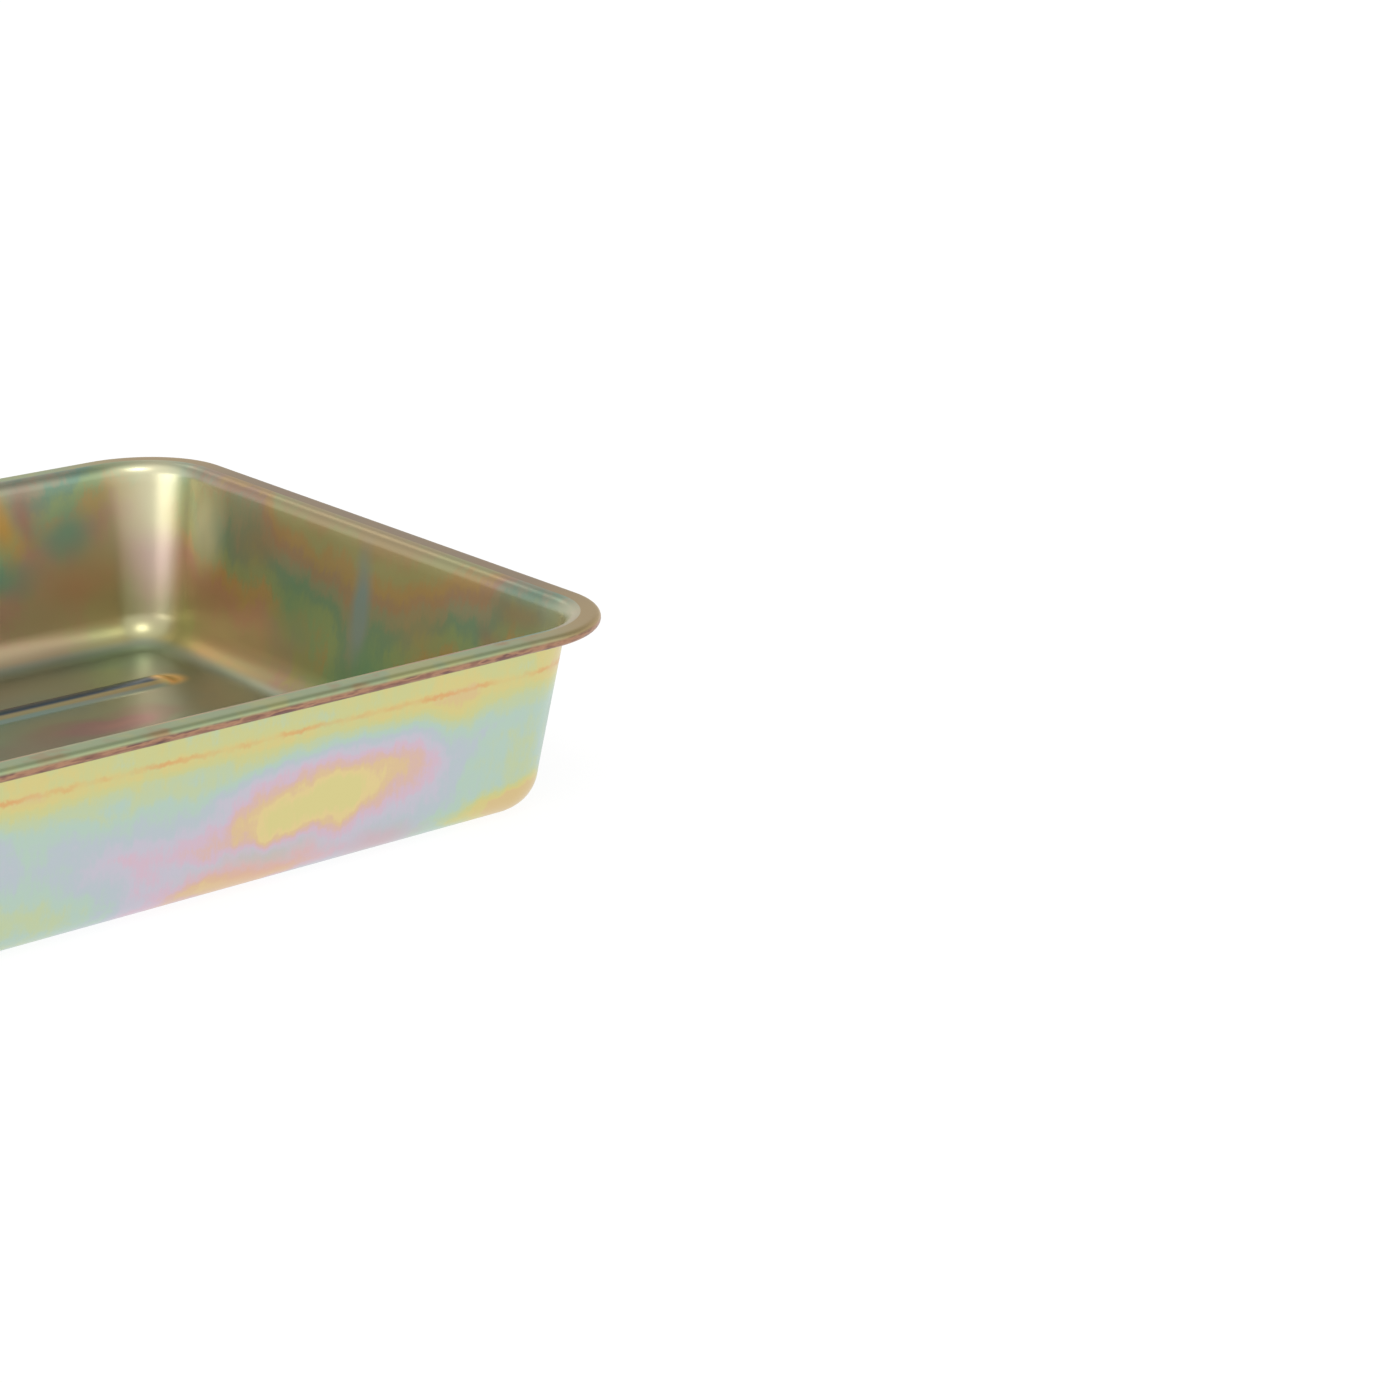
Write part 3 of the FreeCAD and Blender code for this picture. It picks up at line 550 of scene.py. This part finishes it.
def colourBand(tree, factor, stops):
    node = tree.nodes.new("ShaderNodeValToRGB")
    node.color_ramp.interpolation = "EASE"
    elements = node.color_ramp.elements
    while len(elements) < len(stops):
        elements.new(0.5)
    for element, (place, code) in zip(elements, stops):
        element.position = place
        element.color = tone(code)
    tree.links.new(factor, node.inputs["Fac"])
    return node.outputs["Color"]


def dress(tree, shader, colour, roughness, metallic=0):
    feed(tree, shader.inputs["Base Color"], colour)
    feed(tree, shader.inputs["Roughness"], roughness)
    shader.inputs["Metallic"].default_value = metallic


def relief(tree, shader, height, strength):
    bump = tree.nodes.new("ShaderNodeBump")
    bump.inputs["Strength"].default_value = strength
    bump.inputs["Distance"].default_value = 0.2 * mm
    tree.links.new(height, bump.inputs["Height"])
    tree.links.new(bump.outputs["Normal"], shader.inputs["Normal"])


def grain(tree, shader, where, strength):
    # fine tooth of an etched or moulded surface
    relief(tree, shader, noise(tree, where, (0.6, 0.6, 1.2), 3.0, 0.6), strength)


outside = {
    "film": [                   # passivate film from thin to thick
        (0.00, "D6BE8C"), (0.10, "D4C888"), (0.20, "CACA90"), (0.30, "BECBA6"), (0.40, "B4CABC"),
        (0.50, "B8C2C8"), (0.59, "C4C0CC"), (0.67, "D0B8C6"), (0.75, "D6B6AC"), (0.83, "DABE96"),
        (0.91, "DECA92"), (1.00, "D6CC8E"),
    ],
    "underRim": (0.20, 0.46),   # film under the rim and lower down
    "clouds": [                 # centre x, z and size along x, z in mm, then how much film they add
        (70, 25, 40, 23, 0.34), (88, 27, 40, 23, 0.24), (101, 23, 34, 18, 0.16), (118, 33, 30, 17, 0.10),
        (46, 20, 46, 22, 0.20), (14, 21, 42, 18, 0.18), (-24, 12, 50, 16, -0.16), (52, 5, 60, 9, 0.40),
        (62, 13, 24, 8, -0.26), (128, 44, 16, 20, -0.20), (150, 18, 26, 20, -0.14), (152, 5, 40, 12, -0.50),
        (-90, 30, 50, 26, 0.30), (176, 56, 30, 14, -0.16), (-40, 30, 30, 10, 0.05), (30, 40, 60, 8, -0.06),
    ],
    "patches": [                # greener where the sheet turns the corner, rosy along the bottom
        ((175, -111, 30), (15, 15, 60), "7E9A88", 1.3), ((175, 111, 30), (15, 15, 60), "7E9A88", 1.3),
        ((58, -120, 7), (36, 30, 11), "DAB29C", 0.8), ((102, -120, 5), (24, 30, 9), "CCB0B4", 0.8),
    ],
    "ragged": (15, (15, 15, 18), 3.5),      # how far the edges wander in mm, in what blotches
    # more or less film: how much, blotch size in mm, detail, roughness, shift in mm
    "pools": (0.34, (26, 26, 12), 2.0, 0.5, (200, 300, 0)),
    "streaks": (0.24, (5, 5, 45), 5.0, 0.75),
    "mottle": (0.16, (4, 4, 7), 4.0, 0.75, (10, 0, 0)),
    "blots": (0.90, (50, 50, 26), 1.0, 0.5, (300, 100, 0)),
    "line": "DCA06A",
    "lineHeight": 50.3 * mm,    # scuffed line that the drawing die leaves
    "lineHalf": 1.4 * mm,
    "lineFilm": -0.07,          # film rubbed off round it
    "lineWander": (3.2 * mm, (3, 3, 3), 2.0, 0.7),
    "lineGaps": ((16, 16, 40), 2.0, 0.5, (50, 0, 0)),
    "roughness": 0.3,
}


def drawLine(tree, where, height):
    wander = uneven(tree, where, *outside["lineWander"])
    fromLine = calc(tree, "SUBTRACT", height, outside["lineHeight"])
    gap = calc(tree, "ABSOLUTE", calc(tree, "ADD", fromLine, wander))
    line = between(tree, gap, outside["lineHalf"], 0.1 * mm)
    faint = between(tree, noise(tree, where, *outside["lineGaps"]), 0.38, 0.62, 0.08, 0.7)
    return calc(tree, "MULTIPLY", line, faint)


def outsideFinish():
    finish, tree, shader, where = newFinish("panOutside")
    place = axesOf(tree, where)
    ragged = warped(tree, where, *outside["ragged"])
    film = [
        between(tree, place["Z"], 50 * mm, 36 * mm, *outside["underRim"]),
        uneven(tree, ragged, *outside["pools"]),
        uneven(tree, where, *outside["streaks"]),
        uneven(tree, where, *outside["mottle"]),
    ]
    lower = between(tree, place["Z"], 50 * mm, 38 * mm)
    elsewhere = between(tree, place["Y"], -100 * mm, -120 * mm, 1.0, 0.15)
    blots = calc(tree, "MULTIPLY", uneven(tree, ragged, *outside["blots"]), lower)
    film.append(calc(tree, "MULTIPLY", blots, elsewhere))
    for x, z, wide, high, strength in outside["clouds"]:
        film.append(spot(tree, ragged, (x, -124, z), (wide, 90, high), strength))
    fromLine = calc(tree, "ABSOLUTE", calc(tree, "SUBTRACT", place["Z"], outside["lineHeight"] - 1 * mm))
    film.append(between(tree, fromLine, 4 * mm, 1 * mm, 0.0, outside["lineFilm"]))
    colour = colourBand(tree, total(tree, film), outside["film"])
    colour = patched(tree, ragged, colour, outside["patches"])
    line = drawLine(tree, where, place["Z"])
    colour = blended(tree, line, colour, tone(outside["line"]))
    roughness = calc(tree, "MULTIPLY_ADD", line, 0.15, outside["roughness"])
    dress(tree, shader, colour, roughness, metallic=1)
    grain(tree, shader, where, 0.08)
    return finish


inside = {
    "film": [
        (0.00, "BCBC90"), (0.09, "CCB488"), (0.18, "C6B28A"), (0.27, "BEBA8C"), (0.345, "CCAE80"),
        (0.40, "C2A48C"), (0.455, "B0B098"), (0.51, "92B09A"), (0.58, "A8BC90"), (0.645, "C8B080"),
        (0.71, "C8A48E"), (0.80, "C2AE8C"), (0.95, "BAB68A"),
    ],
    "atRim": 0.545,             # film at the rim's drawn corners
    "slant": 0.46,              # how steeply the bands run down from there
    "spread": 140 * mm,         # height over which the whole range of film is met
    "patches": [
        ((172, -4, 38), (30, 9, 30), "A2B4BC", 1.3), ((172, -14, 18), (30, 20, 15), "8CB898", 0.8),
        ((172, -66, 26), (30, 10, 22), "9AB890", 0.6), ((172, -78, 44), (30, 12, 10), "BC9484", 0.7),
        ((172, 60, 50), (30, 28, 14), "C49C80", 0.6), ((170, 30, 24), (30, 26, 18), "86B294", 0.7),
        ((172, 8, 10), (30, 50, 12), "90B48C", 0.6), ((172, -38, 40), (30, 20, 18), "CCA87C", 0.5),
        # the pale (172, 94, 46) cloud is a painted highlight beside the far corner's bright band
        ((172, 94, 46), (30, 15, 26), "E0E8CC", 1.0), ((172, 88, 22), (30, 24, 14), "C8A48C", 0.7),
        ((112, 124, 50), (11, 30, 20), "DCAC5C", 0.9), ((122, 124, 52), (8, 30, 20), "BC8C80", 0.8),
        ((134, 124, 42), (16, 30, 14), "84AE9C", 0.9), ((104, 122, 30), (30, 30, 9), "78AC9C", 0.8),
        ((136, 124, 26), (26, 30, 12), "CCA484", 0.7), ((172, -90, 57), (30, 26, 10), "B49A82", 0.8),
    ],
    "ragged": (16, (24, 24, 34), 1.5),
    # more or less film: how much, blotch size in mm, detail, roughness, shift in mm
    "blots": (0.50, (44, 44, 50), 1.0, 0.4, (130, 70, 0)),
    "streaks": (0.12, (7, 7, 60), 3.0, 0.5),
    "mottle": (0.16, (5, 5, 9), 5.0, 0.75),
    # floor tints; the pinkest end serves the painted reflection of the far corner's highlight
    "floorFilm": [
        (0.00, "9CB2A6"), (0.30, "A6B09C"), (0.55, "AAA096"), (0.75, "B6949A"), (1.00, "D29EA4"),
    ],
    "floorPools": ((70, 60, 60), 2.0, 0.5, (100, 300, 0)),
    "floorReflectionClouds": [            # painted pink reflection of the far corner's highlight, fading to rose: centre and size in mm, then how much film they add
        ((105, 44, 0), (42, 20, 40), 0.55), ((74, 34, 0), (70, 26, 40), 0.35),
    ],
    "ribTopDarkReflection": "526478",         # painted dark blue reflection along the crests of the ribs
    # painted gold highlight along the lower flanks of the ribs
    "ribFootHighlight": "CFAE6A",
    # painted bright highlight on the rounded tips of the ribs
    "ribTipHighlight": "FFDC9C",
    "corner": (172, 122, 52),   # middle of a drawn corner in mm, where the film is pale and a painted highlight runs down it
    "cornerSize": (26, 26, 60),
    "cornerHighlightTones": ("E4C8C4", "E6E0BC"),    # painted highlight tints, low down and higher up
    "roughness": 0.33,
    "cloudy": ((30, 30, 30), 3.0, 0.6),     # where the shine changes
}


def wallColour(tree, where, place, ragged):
    # tints lie in bands that run down from the drawn corners
    ends = [calc(tree, "MAXIMUM", calc(tree, "SUBTRACT", start, calc(tree, "ABSOLUTE", axis)), 0.0)
            for axis, start in ((place["X"], halfX - 35 * mm), (place["Y"], halfY - 35 * mm))]
    fromCorner = calc(tree, "MULTIPLY", calc(tree, "ADD", ends[0], ends[1]), inside["slant"])
    band = calc(tree, "SUBTRACT", calc(tree, "SUBTRACT", rimZ - 5 * mm, place["Z"]), fromCorner)
    film = [
        calc(tree, "MULTIPLY_ADD", band, 1 / inside["spread"], inside["atRim"]),
        uneven(tree, where, *inside["blots"]),
        uneven(tree, where, *inside["streaks"]),
        uneven(tree, where, *inside["mottle"]),
    ]
    return patched(tree, ragged, colourBand(tree, total(tree, film), inside["film"]), inside["patches"])


def floorColour(tree, ragged):
    film = [calc(tree, "SUBTRACT", noise(tree, ragged, *inside["floorPools"]), 0.35)]
    # painted reflection of the far corner's highlight on the floor
    film += [spot(tree, ragged, *cloud) for cloud in inside["floorReflectionClouds"]]
    return colourBand(tree, total(tree, film), inside["floorFilm"])


# paints light onto the ribs: a dark blue reflection on their crests, a gold highlight on their lower flanks
# and a bright highlight at each tip
def ribPaintedLight(tree, where, place, colour):
    overRamp = calc(tree, "MULTIPLY", calc(tree, "SUBTRACT", place["X"], footX), math.sin(slope))
    overRamp = calc(tree, "MULTIPLY_ADD", place["Z"], math.cos(slope), overRamp)
    height = calc(tree, "MINIMUM", place["Z"], overRamp)
    across = between(tree, calc(tree, "ABSOLUTE", place["Y"]), halfY - 35 * mm, halfY - 38 * mm)
    along = between(tree, calc(tree, "ABSOLUTE", place["X"]), halfX - 36 * mm, halfX - 40 * mm)
    inWell = calc(tree, "MULTIPLY", across, along)
    # painted highlight along the lower flanks, in the well only
    foot = between(tree, height, 1.3 * mm, 1.9 * mm, 0.0, 0.6)
    colour = blended(tree, calc(tree, "MULTIPLY", foot, inWell), colour, tone(inside["ribFootHighlight"]))
    # painted dark reflection along the crests, on the flat only
    onFlat = between(tree, place["X"], footX, footX + ribs["stop"])
    top = calc(tree, "MULTIPLY", between(tree, height, 2.2 * mm, 2.6 * mm), onFlat)
    colour = blended(tree, calc(tree, "MULTIPLY", top, inWell), colour, tone(inside["ribTopDarkReflection"]))
    # painted highlight at each rib's tip
    for column in (-1, 0, 1):
        tip = ((halfX - ribs["start"]) / mm - 2, column * ribs["pitch"] / mm, 2)
        colour = blended(tree, spot(tree, where, tip, (9, 9, 7), 2.0), colour, tone(inside["ribTipHighlight"]))
    return colour


# paler film and a painted highlight down each drawn corner
def cornerPaleFilmAndHighlight(tree, place, ragged, colour):
    upper = between(tree, place["Z"], 30 * mm, 46 * mm)
    pale = blended(tree, upper, *[tone(code) for code in inside["cornerHighlightTones"]])
    x, y, z = inside["corner"]
    for centre in ((-x, -y, z), (-x, y, z), (x, -y, z), (x, y, z)):
        colour = blended(tree, spot(tree, ragged, centre, inside["cornerSize"], 1.0), colour, pale)
    return colour


def insideFinish():
    finish, tree, shader, where = newFinish("panInside")
    place = axesOf(tree, where)
    coordinates = tree.nodes.new("ShaderNodeTexCoord")
    facing = axesOf(tree, coordinates.outputs["Normal"])
    ragged = warped(tree, where, *inside["ragged"])
    belowRim = between(tree, place["Z"], rimZ - 6 * mm, rimZ - 12 * mm)
    level = calc(tree, "MULTIPLY", between(tree, facing["Z"], 0.75, 0.97), belowRim)
    colour = blended(tree, level, wallColour(tree, where, place, ragged), floorColour(tree, ragged))
    colour = ribPaintedLight(tree, where, place, colour)
    colour = cornerPaleFilmAndHighlight(tree, place, ragged, colour)
    cloudy = noise(tree, where, *inside["cloudy"])
    roughness = calc(tree, "MULTIPLY_ADD", cloudy, 0.12, inside["roughness"] - 0.06)
    dress(tree, shader, colour, roughness, metallic=1)
    grain(tree, shader, where, 0.06)
    return finish


rim = {
    "blotches": ((22, 22, 22), 3.0, 0.6),   # blotch size in mm, detail, roughness
    "top": [(0.22, "BCA874"), (0.40, "C2C48C"), (0.52, "B2C096"), (0.64, "BCA47C"), (0.80, "9CB8A0")],
    "corner": "C6AC7C",
    "cornerReach": (60 * mm, 15 * mm),      # distances from the ends and sides where it starts and is full
    "end": "A88A70",
    "endReach": (16 * mm, 11 * mm),
    "specks": ((14, 14, 3), 3.0, 0.6),
    "edgeDepth": (0.8 * mm, 1.8 * mm),      # how far below the rim's top the darker tint, with painted shade under the rolled edge, starts and is full
    # darker mottled tint, partly painted shade on the underside of the rolled edge
    "edge": [(0.30, "66504E"), (0.42, "926E5E"), (0.52, "AE866C"), (0.62, "7E5E58"), (0.75, "665456")],
    "roughness": 0.34,
}


def rimFinish():
    finish, tree, shader, where = newFinish("panRim")
    place = axesOf(tree, where)
    top = colourBand(tree, noise(tree, where, *rim["blotches"]), rim["top"])
    start, full = rim["endReach"]
    atEnd = between(tree, place["X"], halfX - start, halfX - full, 0.0, 0.85)
    top = blended(tree, atEnd, top, tone(rim["end"]))
    start, full = rim["cornerReach"]
    inCorner = [between(tree, calc(tree, "ABSOLUTE", axis), half - start, half - full)
                for axis, half in ((place["X"], halfX), (place["Y"], halfY))]
    top = blended(tree, calc(tree, "MULTIPLY", inCorner[0], inCorner[1]), top, tone(rim["corner"]))
    # painted shade and darker tint under the rolled edge
    edge = colourBand(tree, noise(tree, where, *rim["specks"]), rim["edge"])
    start, full = rim["edgeDepth"]
    lower = between(tree, place["Z"], rimZ - start, rimZ - full)
    dress(tree, shader, blended(tree, lower, top, edge), rim["roughness"], metallic=1)
    grain(tree, shader, where, 0.06)
    return finish


wire = {
    "blotches": ((9, 30, 9), 4.0, 0.6),
    "film": [(0.2, "C8B070"), (0.4, "CFC084"), (0.55, "B4BE94"), (0.7, "C8A894"), (0.85, "CDB67C")],
    "scratches": ((0.5, 22, 0.5), 3.0, 0.7),
    "worn": "B8B8B4",           # zinc where the clips rub
    "inClip": (84 * mm, 82 * mm),
    "aboveFoot": (12 * mm, 16 * mm),
    "roughness": 0.28,
}


def wireFinish():
    finish, tree, shader, where = newFinish("legWire")
    place = axesOf(tree, where)
    colour = colourBand(tree, noise(tree, where, *wire["blotches"]), wire["film"])
    scratches = noise(tree, where, *wire["scratches"])
    rubbed = between(tree, scratches, 0.62, 0.72, 0.0, 0.6)
    inClip = between(tree, calc(tree, "ABSOLUTE", place["Y"]), *wire["inClip"], 0.0, 0.7)
    aboveFoot = between(tree, place["Z"], *wire["aboveFoot"])
    worn = calc(tree, "MAXIMUM", rubbed, calc(tree, "MULTIPLY", inClip, aboveFoot))
    roughness = calc(tree, "MULTIPLY_ADD", scratches, 0.2, wire["roughness"] - 0.1)
    dress(tree, shader, blended(tree, worn, colour, tone(wire["worn"])), roughness, metallic=1)
    relief(tree, shader, scratches, 0.25)
    return finish


clip = {
    "ragged": (6, (6, 6, 6), 3.0),
    "blotches": ((12, 12, 12), 3.0, 0.6),
    "film": [(0.2, "C6B47A"), (0.4, "BEBE8C"), (0.55, "A8BCA4"), (0.68, "BCA6B0"), (0.85, "CCAE80")],
    "rolled": ((14, 0.5, 14), 3.0, 0.65),   # streaks along the strip
    "dull": "9C9684",
    "roughness": 0.34,
}


def clipFinish():
    finish, tree, shader, where = newFinish("clipStrip")
    ragged = warped(tree, where, *clip["ragged"])
    colour = colourBand(tree, noise(tree, ragged, *clip["blotches"]), clip["film"])
    rolled = noise(tree, where, *clip["rolled"])
    dulled = between(tree, rolled, 0.55, 0.75, 0.0, 0.35)
    roughness = calc(tree, "MULTIPLY_ADD", rolled, 0.24, clip["roughness"] - 0.12)
    dress(tree, shader, blended(tree, dulled, colour, tone(clip["dull"])), roughness, metallic=1)
    grain(tree, shader, where, 0.2)
    return finish


rivet = {
    "tones": [(0.3, "B4B6B8"), (0.5, "C6C7C8"), (0.7, "A6A8AC")],
    "cloudy": ((1.6, 1.6, 1.6), 4.0, 0.65),
    "roughness": 0.36,
}


def rivetFinish():
    finish, tree, shader, where = newFinish("rivetAluminium")
    cloudy = noise(tree, where, *rivet["cloudy"])
    roughness = calc(tree, "MULTIPLY_ADD", cloudy, 0.3, rivet["roughness"] - 0.15)
    dress(tree, shader, colourBand(tree, cloudy, rivet["tones"]), roughness, metallic=1)
    grain(tree, shader, where, 0.35)
    return finish


sleeve = {
    "tones": [(0.3, "121214"), (0.6, "1C1C1E"), (0.8, "2A2A2B")],
    "blotches": ((5, 5, 5), 4.0, 0.6),
    "scuffs": "5A5854",         # where it stands
    "marks": ((0.8, 3, 0.8), 4.0, 0.7, (20, 0, 0)),
    "roughness": 0.55,
}


def sleeveFinish():
    finish, tree, shader, where = newFinish("sleeveVinyl")
    colour = colourBand(tree, noise(tree, where, *sleeve["blotches"]), sleeve["tones"])
    marks = noise(tree, where, *sleeve["marks"])
    standing = between(tree, axesOf(tree, where)["Z"], 2.5 * mm, 0.5 * mm)
    scuffed = calc(tree, "MULTIPLY", between(tree, marks, 0.45, 0.65, 0.0, 0.7), standing)
    roughness = calc(tree, "MULTIPLY_ADD", marks, 0.2, sleeve["roughness"] - 0.1)
    dress(tree, shader, blended(tree, scuffed, colour, tone(sleeve["scuffs"])), roughness)
    grain(tree, shader, where, 0.5)
    return finish


def coat(finish, *nodes):
    for node in nodes:
        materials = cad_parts[node].data.materials
        materials.clear()
        materials.append(finish)


rivets = ["clip_rivet_%s_%s" % (side, end) for side in ("left", "right") for end in ("lower", "upper")]
coat(wireFinish(), "support_leg")
coat(clipFinish(), "leg_clip_left", "leg_clip_right")
coat(rivetFinish(), *rivets)
coat(sleeveFinish(), "foot_sleeve_left", "foot_sleeve_right")
print("leg and fittings finished")

for finish in (insideFinish(), outsideFinish(), rimFinish()):
    panPiece.data.materials.append(finish)
applyModifiers(panPiece)
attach(panPiece, "tray")
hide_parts("tray_pan")
print("pan finished")
